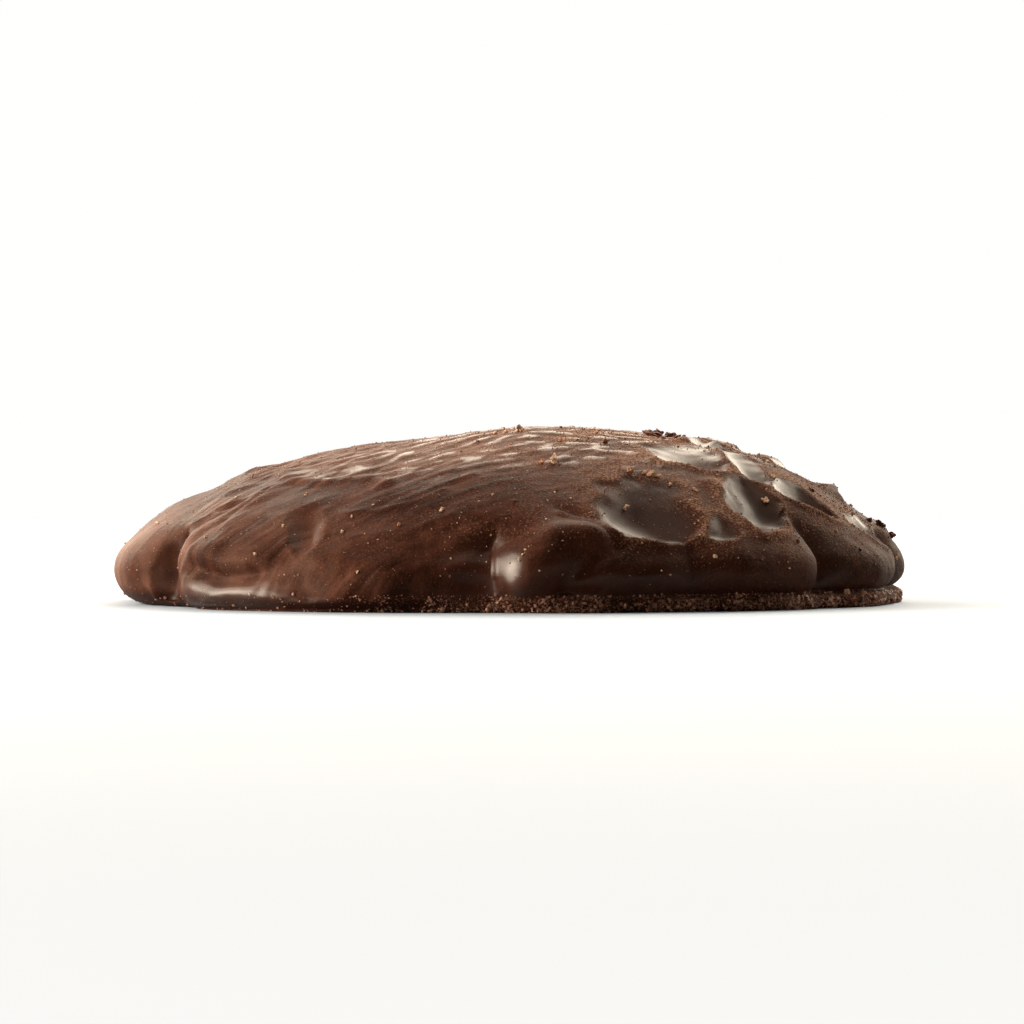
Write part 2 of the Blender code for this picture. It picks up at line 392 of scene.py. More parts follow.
@dataclass(frozen=True)
class CrumbFinish:
    """A dry crumb, a little different in colour from one to the next."""

    name: str
    dark: Colour
    light: Colour
    roughness: float
    pitting: Pattern = Pattern(5000.0, 2.0, 0.5)

    def material(self) -> bpy.types.Material:
        """Make the material."""
        material, graph, shader = Graph.of_material(self.name)
        place = graph.add("TexCoord").outputs["Object"]
        pits = self.pitting.signal(graph, place)
        share = graph.attribute("tint") * 0.8 + (pits - 0.5) * 0.9
        bump = graph.add("Bump", None, {"Distance": MM, "Height": pits * 0.04})
        graph.feed(shader, {
            "Base Color": graph.blend(share, self.dark, self.light),
            "Normal": bump.outputs[0],
            "Roughness": self.roughness,
        })
        return material


@dataclass(frozen=True)
class PaleFloor:
    """A pale, matt floor that fades into the background far from the object."""

    colour: Colour = (0.69, 0.81, 1.0)      # under warm light this is plain white
    bounce: Colour = (0.30, 0.28, 0.26)     # what it sends back onto the object
    mirrored: float = 0.4                   # how white it looks in a glossy place
    roughness: float = 0.7
    fade_start: float = 0.16
    fade_end: float = 0.42

    def material(self) -> bpy.types.Material:
        """Make the material."""
        material, graph, shader = Graph.of_material("pale_floor")
        looking = graph.signal("LightPath", output="Is Camera Ray")
        mirrored = graph.signal("LightPath", output="Is Glossy Ray") * self.mirrored
        colour = graph.blend(looking + mirrored, self.bounce, self.colour)
        graph.feed(shader, {"Base Color": colour, "Roughness": self.roughness})
        place = graph.add("TexCoord").outputs["Object"]
        away = graph.signal("VectorMath", {"operation": "LENGTH"}, {0: place}, "Value")
        clear = graph.add("BsdfTransparent").outputs[0]
        share = away.within(self.fade_start, self.fade_end)
        mix = graph.add("MixShader", None, {0: share, 1: shader.outputs[0], 2: clear})
        output = material.node_tree.nodes["Material Output"]
        graph.feed(output, {"Surface": mix.outputs[0]})
        return material


# ---------------- the form


class Crease(NamedTuple):
    """A crease between two lobes.

    start is the reach where it begins, depth is in millimetres, and lean is
    positive where the lobe at the larger bearing stands steep over the other.
    """

    bearing: float
    start: float
    depth: float
    lean: float


class Hollow(NamedTuple):
    """A hollow pressed with a thumb that slid down the dome.

    Sizes are in millimetres, and turn is in degrees.
    """

    bearing: float
    reach: float
    across: float
    up: float
    down: float
    turn: float
    depth: float
    shine: float = 1.0              # how glossy it is inside
    soft: float = 0.0               # how gently its gloss fades uphill


class Ridge(NamedTuple):
    """A ridge along (bearing, reach) points, or a groove if its height is negative.

    Width and height are in millimetres.
    """

    points: tuple[tuple[float, float], ...]
    width: float
    height: float


@dataclass(frozen=True)
class BareForm:
    """Where points lie on the bare dome, before any relief."""

    bearing: np.ndarray
    radius: np.ndarray
    height: np.ndarray
    reach: np.ndarray
    angle: np.ndarray


# Steps of the dome's section, which are fine where its curve is tight
CROWN_STEPS, SHOULDER_STEPS, EDGE_STEPS = 1500, 500, 60
EDGE_RISE, LEAST_RISE = 0.02, 1e-6


@dataclass
class Dome:
    """The bare dome, its tucked foot and the thin plate under it."""

    diameter: float = 60.0 * MM
    tall: float = 13.6 * MM
    waist: float = 2.7 * MM
    edge_round: float = 2.2 * MM
    crown_power: float = 1.15
    shoulder_power: float = 2.65
    tuck: float = 2.6 * MM
    plate_height: float = 1.1 * MM
    plate_radius: float = 28.95 * MM
    plate_shift: float = 0.85 * MM
    plate_round: float = 0.45 * MM
    plate_blend: float = 0.3 * MM
    lobe_foot: float = 0.45 * MM
    ragged: float = 0.30 * MM
    ragged_span: float = 3.0 * MM
    low_side: float = 0.085         # how much flatter the left side is
    low_all: float = 0.042          # and how much flatter it is all over
    section: tuple[np.ndarray, ...] = field(init=False)

    def __post_init__(self) -> None:
        """Work out the section once."""
        self.section = self._section()

    @property
    def full_reach(self) -> float:
        """Distance over the dome from the top centre to the waist, in metres."""
        return float(self.section[2][-1])

    def _section(self) -> tuple[np.ndarray, ...]:
        """Radius, height, reach and outward normal, from the top centre to the waist."""
        rise = np.linspace(1.0, EDGE_RISE, CROWN_STEPS)
        rise = np.concatenate((rise, np.geomspace(EDGE_RISE, LEAST_RISE, SHOULDER_STEPS)))
        inner = self.diameter / 2 - self.edge_round
        radius = inner * (1.0 - rise**self.crown_power) ** (1.0 / self.shoulder_power)
        height = self.waist + (self.tall - self.waist - self.edge_round) * rise
        angle = np.arctan2(np.gradient(radius), -np.gradient(height))
        angle[0] = math.pi / 2
        radius = np.concatenate((radius, np.full(EDGE_STEPS, inner)))
        height = np.concatenate((height, np.full(EDGE_STEPS, self.waist)))
        angle = np.concatenate((angle, np.linspace(angle[-1], 0.0, EDGE_STEPS)))
        radius += self.edge_round * np.cos(angle)
        height += self.edge_round * np.sin(angle)
        steps = np.hypot(np.diff(radius), np.diff(height))
        return radius, height, np.concatenate(([0.0], np.cumsum(steps))), angle

    def sag(self, height: np.ndarray, x: np.ndarray) -> np.ndarray:
        """How far the top lies below an even dome's: most on the left side."""
        share = self.low_all + self.low_side * step_mm(-x, -2.0, 11.0)
        share *= 1.0 - step_mm(-x, 22.0, 27.5)
        share *= 1.0 - step_mm(x, 11.0, 18.0)
        return share * np.maximum(height - self.waist, 0.0)

    def _foot_radius(self, height: np.ndarray, bearing: np.ndarray) -> np.ndarray:
        """Radius below the waist: the lobe's tuck, or the plate where that is wider."""
        side = np.sin(bearing)
        edge = np.column_stack((np.sin(bearing), -np.cos(bearing), np.zeros_like(bearing)))
        ragged = self.ragged * wander(edge * self.diameter / 2, self.ragged_span)[:, 0]
        lobe_foot = self.lobe_foot * (1.0 + side)
        below = np.clip((self.waist - height) / (self.waist - lobe_foot), 0.0, 1.0)
        filled = 0.95 * around(bearing, FILLED_FOOT)        # a roll hangs down there
        lobe = self.diameter / 2 - self.tuck * (1.0 - filled) * (1.0 - np.sqrt(1.0 - below**2))
        middle = self.plate_height / 2
        plate = self.plate_radius + self.plate_shift * side + ragged
        plate = plate - self.plate_round * (np.abs(height - middle) / middle) ** 4
        return smooth_max(lobe, plate, self.plate_blend)

    def bare(self, bearing: np.ndarray, down: np.ndarray) -> BareForm:
        """Place points on the bare form.

        Args:
            bearing: In radians.
            down: 0 at the top centre, 1 at the waist and 2 at the underside.

        Returns:
            The places of the points.
        """
        radius, height, reach, angle = self.section
        dome_reach = self.full_reach * np.clip(down, 0.0, 1.0)
        foot = np.clip(down - 1.0, 0.0, 1.0)
        foot_height = self.waist * (1.0 - np.sin(foot * math.pi / 2))
        in_foot = down > 1.0
        on_dome = [np.interp(dome_reach, reach, column) for column in (radius, height, angle)]
        return BareForm(
            bearing=bearing,
            radius=np.where(in_foot, self._foot_radius(foot_height, bearing), on_dome[0]),
            height=np.where(in_foot, foot_height, on_dome[1]),
            reach=dome_reach + np.where(in_foot, self.waist - foot_height, 0.0),
            angle=np.where(in_foot, 0.0, on_dome[2]),
        )


CREASES = tuple(Crease(*row) for row in (
    (-86.0, 24.0, 2.0, 0.4), (-58.5, 28.2, 2.6, 0.8), (-31.0, 25.0, 0.40, 0.3), (-2.4, 27.0, 2.3, 1.0),
    (26.8, 28.5, 1.5, 0.0), (52.0, 25.5, 2.4, -1.0), (80.0, 27.0, 1.6, -0.5), (105.5, 25.0, 2.3, 0.6),
    (133.0, 22.0, 2.0, -0.4), (160.5, 25.5, 2.5, 0.8), (189.0, 21.0, 2.1, 0.3),
    (217.0, 25.0, 2.4, -0.7), (245.5, 21.5, 2.0, 0.5),
))
HOLLOWS = tuple(Hollow(*row) for row in (
    (22.8, 27.0, 4.0, 5.2, 3.3, 28.0, 0.85, 1.0, 1.0), (46.0, 18.9, 3.2, 6.4, 2.8, 50.0, 1.10),
    (45.6, 27.2, 2.8, 5.8, 3.0, 22.0, 1.05), (33.6, 29.2, 2.0, 2.4, 1.4, 0.0, 0.30, 0.8, 0.6),
    (57.0, 22.6, 1.5, 6.0, 2.4, 26.0, 0.66), (61.0, 26.4, 2.8, 4.0, 1.8, 28.0, 0.80),
    (72.5, 30.6, 2.4, 3.4, 1.6, 26.0, 0.75), (70.0, 17.6, 2.6, 4.6, 2.2, 36.0, 0.50),
    (85.0, 22.8, 3.6, 3.4, 2.4, 20.0, 1.15), (103.0, 27.2, 3.0, 4.0, 2.6, 12.0, 0.80),
    (112.0, 18.8, 3.2, 4.4, 2.4, -20.0, 0.60), (130.0, 26.4, 2.8, 5.0, 2.8, 8.0, 0.85),
    (150.0, 21.0, 3.8, 4.0, 2.4, -25.0, 0.55), (160.0, 28.6, 3.2, 3.2, 2.0, 0.0, 0.65),
    (186.0, 25.5, 3.4, 4.4, 2.6, 15.0, 0.60), (-32.4, 28.6, 1.7, 2.8, 3.0, -6.0, 0.42, 0.45, 1.0),
    (-63.0, 23.4, 1.1, 3.0, 1.6, 42.0, 0.20, 0.1), (-56.0, 26.2, 1.0, 3.0, 1.6, 42.0, 0.20, 0.1),
    (-61.2, 33.8, 1.9, 3.4, 2.4, -6.0, 0.85, 0.6), (-15.0, 31.6, 5.5, 5.0, 2.6, -8.0, 0.24, 0.0),
    (214.0, 30.0, 3.6, 3.0, 1.6, -10.0, 0.50), (262.0, 28.5, 2.6, 3.6, 2.0, 12.0, 0.45),
))
RIDGES = tuple(Ridge(*row) for row in (
    (((0.5, 33.9), (3.0, 32.2), (7.5, 31.0), (12.0, 30.2)), 1.9, 1.15),
    (((15.5, 30.6), (11.5, 32.2), (8.0, 34.2)), 0.8, -0.50),
    (((-51.0, 35.3), (-43.0, 35.4), (-34.0, 35.4), (-18.0, 35.3)), 1.25, 0.50),
    (((-51.0, 33.3), (-45.0, 33.8), (-40.0, 33.4)), 0.8, -0.70),
    (((-37.4, 32.9), (-34.0, 31.6)), 0.8, -0.34),
    (((-50.0, 31.8), (-44.0, 32.4), (-39.0, 31.7)), 1.2, 0.36),
    (((-45.0, 30.0), (-37.0, 27.6)), 2.6, 0.26),
    (((-57.5, 34.0), (-53.5, 31.0), (-50.5, 28.0), (-52.5, 23.5)), 0.8, 0.14),
    (((-47.8, 32.4), (-46.3, 30.0), (-46.9, 26.7), (-51.3, 21.7)), 0.9, 0.14),
    (((-19.0, 34.2), (-12.0, 34.3), (-4.0, 34.6)), 0.9, -0.15),
    (((-1.0, 34.75), (4.0, 34.7), (13.0, 34.9)), 0.45, -0.45),
    (((-58.0, 19.6), (-44.0, 20.6), (-26.0, 21.2)), 0.7, 0.20),
    (((40.0, 23.6), (43.5, 25.4)), 1.0, 0.35),
    (((118.0, 21.5), (122.0, 26.0), (117.0, 29.5)), 1.2, 0.35),
    (((172.0, 21.0), (176.0, 26.0), (172.0, 30.0)), 1.3, 0.40),
    (((205.0, 21.0), (226.0, 24.0), (232.0, 28.5)), 1.4, 0.40),
    (((262.0, 20.0), (250.0, 24.0), (252.0, 28.0)), 1.3, 0.40),
))
FINE_RIDGES = tuple(Ridge(*row) for row in (
    (((-55.6, 34.2), (-51.8, 31.2), (-48.8, 28.2), (-50.6, 24.0)), 0.40, -0.10),
    (((-54.0, 34.2), (-50.2, 31.2), (-47.6, 28.4), (-49.0, 24.6)), 0.35, 0.07),
    (((-57.8, 32.0), (-54.4, 29.0), (-52.4, 26.4)), 0.40, -0.08),
    (((-60.5, 31.0), (-57.0, 28.4), (-58.0, 24.6)), 0.50, 0.12),
    (((-51.9, 22.9), (-51.4, 22.6)), 0.30, -0.22), (((-26.0, 27.0), (-12.0, 23.6)), 0.45, 0.12),
    (((-24.0, 30.0), (-9.0, 26.4)), 0.50, 0.14), (((-20.0, 24.4), (-6.0, 21.0)), 0.45, 0.12),
    (((-28.0, 32.4), (-23.0, 32.9), (-18.0, 33.2)), 1.3, 0.24),
    (((0.5, 34.9), (9.0, 35.1)), 0.30, 0.25), (((9.0, 27.3), (13.5, 28.4), (17.0, 29.8)), 0.35, 0.22),
    (((9.5, 26.5), (14.0, 27.5)), 0.7, -0.16), (((70.0, 14.4), (95.0, 14.9)), 0.8, 0.42),
    (((74.0, 16.6), (97.0, 17.2)), 0.8, 0.44), (((78.0, 20.8), (98.0, 20.2)), 0.7, 0.48),
    (((79.0, 26.2), (96.0, 25.4)), 0.8, 0.48), (((80.0, 30.4), (94.0, 29.8)), 0.7, 0.42),
))


@dataclass
class Marks:
    """The scallops, the pressed hollows, and the ridges and rolls of the coat."""

    creases: tuple[Crease, ...] = CREASES
    hollows: tuple[Hollow, ...] = HOLLOWS
    ridges: tuple[Ridge, ...] = RIDGES
    fine_ridges: tuple[Ridge, ...] = FINE_RIDGES
    crease_full: float = 32.0       # the reach where a crease has its full depth
    crease_power: float = 2.6
    crease_lean: float = 0.45
    crease_round: float = 0.06
    plate_share: float = 0.35       # of a crease's depth, at the plate
    hollow_gain: float = 1.2
    hollow_lip: float = 0.28
    hollow_lip_width: float = 0.24

    def valley(self, form: BareForm, bearing: np.ndarray, waist: float) -> np.ndarray:
        """How far the scallops draw the side in towards the axis.

        Args:
            form: The bare form.
            bearing: The bearings, wandered.
            waist: Height of the waist.

        Returns:
            The depth at each point, in metres.
        """
        deepest = np.zeros_like(bearing)
        for index, crease in enumerate(self.creases):
            before = self.creases[index - 1].bearing
            after = self.creases[(index + 1) % len(self.creases)].bearing
            half_before = math.radians((crease.bearing - before) % 360.0) / 2
            half_after = math.radians((after - crease.bearing) % 360.0) / 2
            angle = turned(bearing, crease.bearing)
            share = np.abs(angle) / np.where(angle < 0.0, half_before, half_after)
            share = np.clip(np.hypot(share, self.crease_round), 0.0, 1.0)
            power = self.crease_power * (1.0 + self.crease_lean * crease.lean * np.sign(angle))
            valley = crease.depth * MM * (1.0 - share) ** power
            climb = smooth_step(form.reach, crease.start * MM, self.crease_full * MM)
            deepest = np.maximum(deepest, valley * climb)
        at_plate = self.plate_share + (1.0 - self.plate_share) * smooth_step(form.height, 0.0, waist)
        return deepest * at_plate

    def hollow(
        self, bearing: np.ndarray, reach: np.ndarray, radius: np.ndarray, wobble: np.ndarray
    ) -> tuple[np.ndarray, np.ndarray, np.ndarray]:
        """Press the hollows: where two meet, a sharp ridge stays between them.

        Args:
            bearing: In radians, wandered.
            reach: In metres, wandered.
            radius: In metres.
            wobble: How uneven the hollows' outlines are, as a share of their size.

        Returns:
            The depth, and how far each point is in a hollow and on a crest,
            from 0 to 1.
        """
        deepest = np.zeros_like(bearing)
        crest = np.zeros_like(bearing)
        inside = np.zeros_like(bearing)
        rim = np.zeros_like(bearing)
        for hollow in self.hollows:
            sideways = turned(bearing, hollow.bearing) * radius / MM
            down = reach / MM - hollow.reach
            turn = math.radians(hollow.turn)
            across = (sideways * math.cos(turn) + down * math.sin(turn)) / hollow.across
            along = down * math.cos(turn) - sideways * math.sin(turn)
            along /= np.where(along > 0.0, hollow.down, hollow.up)
            off = np.hypot(across, along)
            steep = 0.5 + 0.5 * along / np.maximum(off, 0.2)    # 1 at the end of a slide
            off = off + wobble * smooth_step(off, 0.55, 1.0)
            bowl = np.clip(1.0 - off**2, 0.0, 1.0) ** (2.0 - 1.2 * steep)
            beyond = np.exp(-(((off - 1.0) / self.hollow_lip_width) ** 2))
            deepest = np.maximum(deepest, self.hollow_gain * hollow.depth * MM * bowl)
            crest = np.maximum(crest, self.hollow_lip * hollow.depth * MM * beyond * steep**2)
            start = 0.72 - 0.37 * hollow.soft * (1.0 - steep)
            inside = np.maximum(inside, hollow.shine * (1.0 - smooth_step(off, start, 1.02)))
            rim = np.maximum(rim, beyond * (off > 0.9))
        return deepest - crest, inside, rim * (1.0 - inside)

    @staticmethod
    def raised(
        ridges: Sequence[Ridge], bearing: np.ndarray, reach: np.ndarray, radius: np.ndarray
    ) -> np.ndarray:
        """Height of the ridges, knobs and rolls above the coat, in metres."""
        total = np.zeros_like(bearing)
        for ridge in ridges:
            nearest = np.full_like(bearing, np.inf)
            for (start, start_reach), (end, end_reach) in zip(ridge.points, ridge.points[1:]):
                sideways = turned(bearing, start) * radius / MM
                down = reach / MM - start_reach
                run = math.radians(end - start) * radius / MM
                drop = end_reach - start_reach
                share = np.clip((sideways * run + down * drop) / (run**2 + drop**2), 0.0, 1.0)
                gap = np.hypot(sideways - share * run, down - share * drop)
                nearest = np.minimum(nearest, gap)
            total += ridge.height * MM * np.exp(-((nearest / ridge.width) ** 2))
        return total


@dataclass
class FineRelief:
    """Shelves on the top, flow streaks down the sides and a ragged foot."""

    flow_turn: float = math.radians(29.0)
    wall_share: float = 1.1         # how far a streak's place across follows the height
    warps: tuple[tuple[float, float], ...] = ((1.3 * MM, 8.0 * MM), (0.35 * MM, 2.6 * MM))
    shelf_height: float = 0.17 * MM
    shelf_spans: tuple[float, float] = (2.0 * MM, 1.0 * MM)
    shelf_edge: tuple[float, float] = (17.0 * MM, 23.0 * MM)
    shelf_drop: float = 2.6 * MM    # how much further down they reach on the left
    streak_height: float = 0.10 * MM
    streak_spans: tuple[float, float] = (7.0 * MM, 1.1 * MM)
    ripple_height: float = 0.06 * MM
    ripple_span: float = 1.7 * MM
    crag_height: float = 0.17 * MM
    crag_spans: tuple[float, float, float] = (0.8 * MM, 0.8 * MM, 0.28 * MM)
    crag_top: float = 1.15 * MM

    def along_flow(self, points: np.ndarray, form: BareForm, tall: float) -> np.ndarray:
        """Places in axes along the flow and across it, uneven as a flow is.

        Args:
            points: Places on the bare form.
            form: The bare form.
            tall: Height of the top.

        Returns:
            One row of three for each point, the last of them 0.
        """
        cos, sin = math.cos(self.flow_turn), math.sin(self.flow_turn)
        x, y, _ = points.T
        across = y * cos - x * sin
        across += self.wall_share * (form.height - tall) * np.cos(form.bearing - self.flow_turn)
        for shift, (strength, span) in enumerate(self.warps):
            across += strength * uneven(points, span, 5.3 + shift)
        return np.column_stack((x * cos + y * sin, across, np.zeros_like(x)))

    def relief(
        self, points: np.ndarray, flow: np.ndarray, form: BareForm, inside: np.ndarray
    ) -> tuple[np.ndarray, np.ndarray, np.ndarray]:
        """Work out the fine relief.

        Args:
            points: Places on the bare form.
            flow: The same places along and across the flow.
            form: The bare form.
            inside: How far each point is in a hollow, from 0 to 1.

        Returns:
            The height to add at each point, in metres, how far each is on the
            smooth top of a shelf, and how brushed it is, from 0 to 1.
        """
        clean = 1.0 - 0.85 * inside
        lower = self.shelf_drop * around(form.bearing, LOW_SHELVES)
        on_top = 1.0 - smooth_step(form.reach - lower, *self.shelf_edge)
        wide = np.array((*self.shelf_spans, 1.0))
        shelf = np.tanh(3.0 * uneven(flow, wide)) + 0.5 * uneven(flow, wide * 0.4, 2.0)
        streak = uneven(flow, (*self.streak_spans, 1.0), 9.0)
        length, width = self.streak_spans
        streak += 0.4 * uneven(flow, (length * 0.5, width * 0.45, 1.0), 4.0)
        ripple = uneven(points, self.ripple_span, 3.0)
        crag = uneven(points, self.crag_spans, 7.0)
        low = 1.0 - smooth_step(form.height, self.crag_top * 0.8, self.crag_top * 1.2)
        brushed = self.brushed(points, form) * clean
        total = self.shelf_height * 0.5 * shelf * on_top * clean
        total += self.streak_height * streak * brushed
        total += self.ripple_height * ripple * clean
        total *= step_mm(form.height, 0.6, 1.8)
        crag *= (0.2 + 0.8 * crumbly(form.bearing)) * low * smooth_step(form.height, 0.0, 0.2 * MM)
        total += self.crag_height * crag
        facing_left = around(form.bearing, FACING_LEFT)
        polish = on_top * clean * smooth_step(shelf, 0.25, 0.9) * (1.0 - facing_left)
        return total, polish, brushed

    @staticmethod
    def brushed(points: np.ndarray, form: BareForm) -> np.ndarray:
        """How strongly the flow's strokes show, from 0 to 1: most on the left of the front."""
        patchy = smooth_step(uneven(points, 5.0 * MM, 6.1), -0.30, 0.30)
        side = around(form.bearing, BRUSHED_SIDE)
        return np.clip((0.25 + 0.75 * side) * (0.35 + 0.65 * patchy), 0.0, 1.0)


@dataclass(frozen=True)
class Patch:
    """Points of the finished coat, and what each is like there."""

    points: np.ndarray
    gloss: np.ndarray
    dust: np.ndarray
    brushed: np.ndarray
    bloom_and_painted_light: np.ndarray
    flow: np.ndarray


@dataclass
class ChocolateCoat:
    """The whole coated cookie, as one detailed closed mesh."""

    dome: Dome = field(default_factory=Dome)
    marks: Marks = field(default_factory=Marks)
    fine: FineRelief = field(default_factory=FineRelief)
    finish: DarkChocolate = field(default_factory=DarkChocolate)
    rings: int = 150
    dome_rings: int = 122
    drift: float = 1.5 * MM
    drift_span: float = 5.0 * MM
    swell: float = 0.30 * MM
    swell_span: float = 9.0 * MM
    relief_start: float = 0.5 * MM
    relief_full: float = 1.8 * MM
    least_radius: float = 4.0 * MM  # near the axis, marks keep the width they have here
    wobbles: tuple[tuple[float, float, float], ...] = ((0.24, 2.0 * MM, 8.3), (0.10, 0.8 * MM, 2.9))
    offset: np.ndarray = field(default_factory=lambda: np.zeros(3))

    def patch(self, bearing: np.ndarray, down: np.ndarray) -> Patch:
        """Work out points of the coat.

        Args:
            bearing: In radians.
            down: 0 at the top centre, 1 at the waist and 2 at the underside.

        Returns:
            The points, and what the coat is like at each.
        """
        form = self.dome.bare(bearing, down)
        facing = np.column_stack((np.sin(bearing), -np.cos(bearing)))
        bare = np.column_stack((facing * form.radius[:, None], form.height))
        drift = self.drift * wander(bare, self.drift_span)
        local = np.maximum(form.radius, self.least_radius)
        mark_bearing = bearing + drift[:, 0] / local
        mark_reach = form.reach + drift[:, 1]
        wobble = sum(share * uneven(bare, span, shift) for share, span, shift in self.wobbles)
        pressed, inside, rim = self.marks.hollow(mark_bearing, mark_reach, local, wobble)
        relief = self.marks.raised(self.marks.ridges, mark_bearing, mark_reach, local) - pressed
        relief += self.marks.raised(self.marks.fine_ridges, mark_bearing, mark_reach, local)
        relief += self.swell * wander(bare, self.swell_span)[:, 2]
        clear = clearance(bearing)
        relief *= smooth_step(form.height, self.relief_start * clear, self.relief_full * clear)
        flow = self.fine.along_flow(bare, form, self.dome.tall)
        fine, polish, brushed = self.fine.relief(bare, flow, form, inside)
        relief += fine
        valley = self.marks.valley(form, mark_bearing, self.dome.waist)
        radius = form.radius - valley + relief * np.cos(form.angle)
        height = form.height - self.dome.sag(form.height, bare[:, 0])
        height += relief * np.sin(form.angle)
        points = np.column_stack((facing * radius[:, None], height)) + self.offset
        gloss = self._gloss(form, inside, valley, polish)
        dust = self._dust(form, inside, rim, bare)
        # Less pale deep in the creases: painted shade
        bloom_and_painted_light = self._bloom_and_painted_light(form, bare) * (1.0 - 0.8 * step_mm(valley, 0.4, 1.4))
        return Patch(points, gloss, dust, brushed, bloom_and_painted_light, flow)

    @staticmethod
    def _bloom_and_painted_light(form: BareForm, bare: np.ndarray) -> np.ndarray:
        """How pale the coat is: real bloom on the back, painted light on the left lobes and the top,
        and painted shade low on the foot.
        """
        # Painted light: the left lobes paler, as if lit from the left
        left = around(form.bearing, PAINTED_LIT_LOBES)
        left *= 0.66 + 0.9 * uneven(bare, 3.5 * MM, 6.6)
        left *= 1.0 - 0.75 * step_mm(form.height, 5.2, 9.4)
        # Painted sheen: the top paler
        top = 1.0 - step_mm(form.reach, 16.0, 22.5)
        top *= step_mm(-bare[:, 0], -15.0, 4.0)
        back = smooth_step(uneven(bare, 12.0 * MM, 4.4), -0.05, 0.35)
        back *= step_mm(bare[:, 1], -2.0, 10.0)
        bloom_and_painted_light = np.maximum(np.maximum(left, 0.65 * top), 0.35 * back)
        # None low on the foot: painted shade
        return np.clip(bloom_and_painted_light * step_mm(form.height, 0.9, 1.8), 0.0, 1.0)

    @staticmethod
    def _gloss(
        form: BareForm, inside: np.ndarray, valley: np.ndarray, polish: np.ndarray
    ) -> np.ndarray:
        """How glossy the coat is: 1 in a hollow, and up to 1.8 where it looks wet."""
        low = 1.0 - step_mm(form.height, 2.5, 5.5)
        front = around(form.bearing, GLOSSY_FRONT)
        low *= 0.06 + 0.66 * front
        roll = around(form.bearing, WET_ROLL)
        roll *= 1.0 - step_mm(form.height, 1.6, 2.4)
        knob = around(form.bearing, WET_KNOB)
        knob *= 1.0 - step_mm(form.height, 4.0, 6.0)
        matt = around(form.bearing, MATT_CREASES)
        gloss = np.maximum(inside, 0.8 * (1.0 - matt) * step_mm(valley, 0.5, 1.4))
        gloss = np.maximum(np.maximum(gloss, np.maximum(low, 1.7 * roll)), 0.95 * polish)
        gloss = np.maximum(gloss, 1.8 * knob)
        clear = clearance(form.bearing)
        gloss *= smooth_step(form.height, 0.6 * MM * clear, 1.1 * MM * clear)
        smooth_foot = (1.0 - crumbly(form.bearing)) * (1.0 - step_mm(form.height, 1.0, 1.3))
        return np.maximum(gloss, 0.3 * smooth_foot)

    @staticmethod
    def _dust(
        form: BareForm, inside: np.ndarray, rim: np.ndarray, bare: np.ndarray
    ) -> np.ndarray:
        """How dusty the coat is: on crests, on one shoulder, over the top and along the foot; over the
        top it is partly a painted sheen.
        """
        shoulder = around(form.bearing, DUSTY_SHOULDER)
        shoulder *= step_mm(form.height, 2.2, 6.8)
        patchy = smooth_step(uneven(bare, 4.5 * MM, 1.7), -0.25, 0.35)
        dust = 0.05 + 0.95 * shoulder * (0.40 + 0.60 * patchy) + 0.5 * rim * shoulder
        # Over the top: real dust, and partly a painted sheen
        dust += 0.30 * (0.3 + 0.7 * patchy) * step_mm(form.height, 9.5, 12.0)
        dust *= 1.0 - 0.9 * inside
        foot = (1.0 - step_mm(form.height, 0.9, 1.4)) * crumbly(form.bearing) * 0.7
        return np.clip(np.maximum(dust, foot), 0.0, 1.0)

    def build(self) -> bpy.types.Object:
        """Model the coat from a square grid drawn out into rings.

        Returns:
            The coat.
        """
        start_fresh()
        segments = 2 * self.rings
        bpy.ops.mesh.primitive_grid_add(x_subdivisions=segments, y_subdivisions=segments, size=2.0)
        coat = bpy.context.object
        coat.name = "chocolate_coat"
        mesh = coat.data
        flat = np.empty(len(mesh.vertices) * 3)
        mesh.vertices.foreach_get("co", flat)
        flat = np.round(flat.reshape(-1, 3)[:, :2] * self.rings) / self.rings
        ring, bearing = self._ring_and_bearing(flat)
        dome_rings, foot_rings = self.dome_rings, self.rings - self.dome_rings
        down = np.where(ring > dome_rings, 1.0 + (ring - dome_rings) / foot_rings, ring / dome_rings)
        patch = self.patch(bearing, down)
        middle = (patch.points.min(axis=0) + patch.points.max(axis=0)) / 2
        self.offset = np.array((-middle[0], -middle[1], 0.0))
        mesh.vertices.foreach_set("co", (patch.points + self.offset).ravel())
        for name in ("gloss", "dust", "brushed", "bloom_and_painted_light", "flow"):
            store(mesh, name, getattr(patch, name))
        self._close_underside()
        bpy.ops.object.shade_smooth()
        return coat

    def _ring_and_bearing(self, flat: np.ndarray) -> tuple[np.ndarray, np.ndarray]:
        """Ring number and bearing of each point of a square grid from -1 to 1."""
        x, y = flat[:, 0], flat[:, 1]
        ring = np.maximum(np.abs(x), np.abs(y))
        safe = np.where(ring > 0.0, ring, 1.0)
        quarter = math.pi / 4
        sides = (
            (-y >= ring, quarter * x / safe),
            (x >= ring, math.pi / 2 + quarter * y / safe),
            (y >= ring, math.pi - quarter * x / safe),
            (-x >= ring, -math.pi / 2 - quarter * y / safe),
        )
        bearing = np.select([side for side, _ in sides], [angle for _, angle in sides])
        return ring * self.rings, bearing

    @staticmethod
    def _close_underside() -> None:
        """Fill the open rim with the flat underside, and face everything outwards."""
        bpy.ops.object.mode_set(mode="EDIT")
        bpy.ops.mesh.select_all(action="DESELECT")
        bpy.ops.mesh.select_mode(type="EDGE")
        bpy.ops.mesh.select_non_manifold()
        bpy.ops.mesh.edge_face_add()
        bpy.ops.mesh.inset(thickness=0.5 * MM, depth=0.0)
        bpy.ops.mesh.select_all(action="SELECT")
        bpy.ops.mesh.normals_make_consistent(inside=False)
        bpy.ops.object.mode_set(mode="OBJECT")

    def dress(self, coat: bpy.types.Object) -> None:
        """Give the coat its finish and tie it to the frame."""
        coat.data.materials.append(self.finish.material())
        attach(coat, BODY)
        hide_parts(NODE)

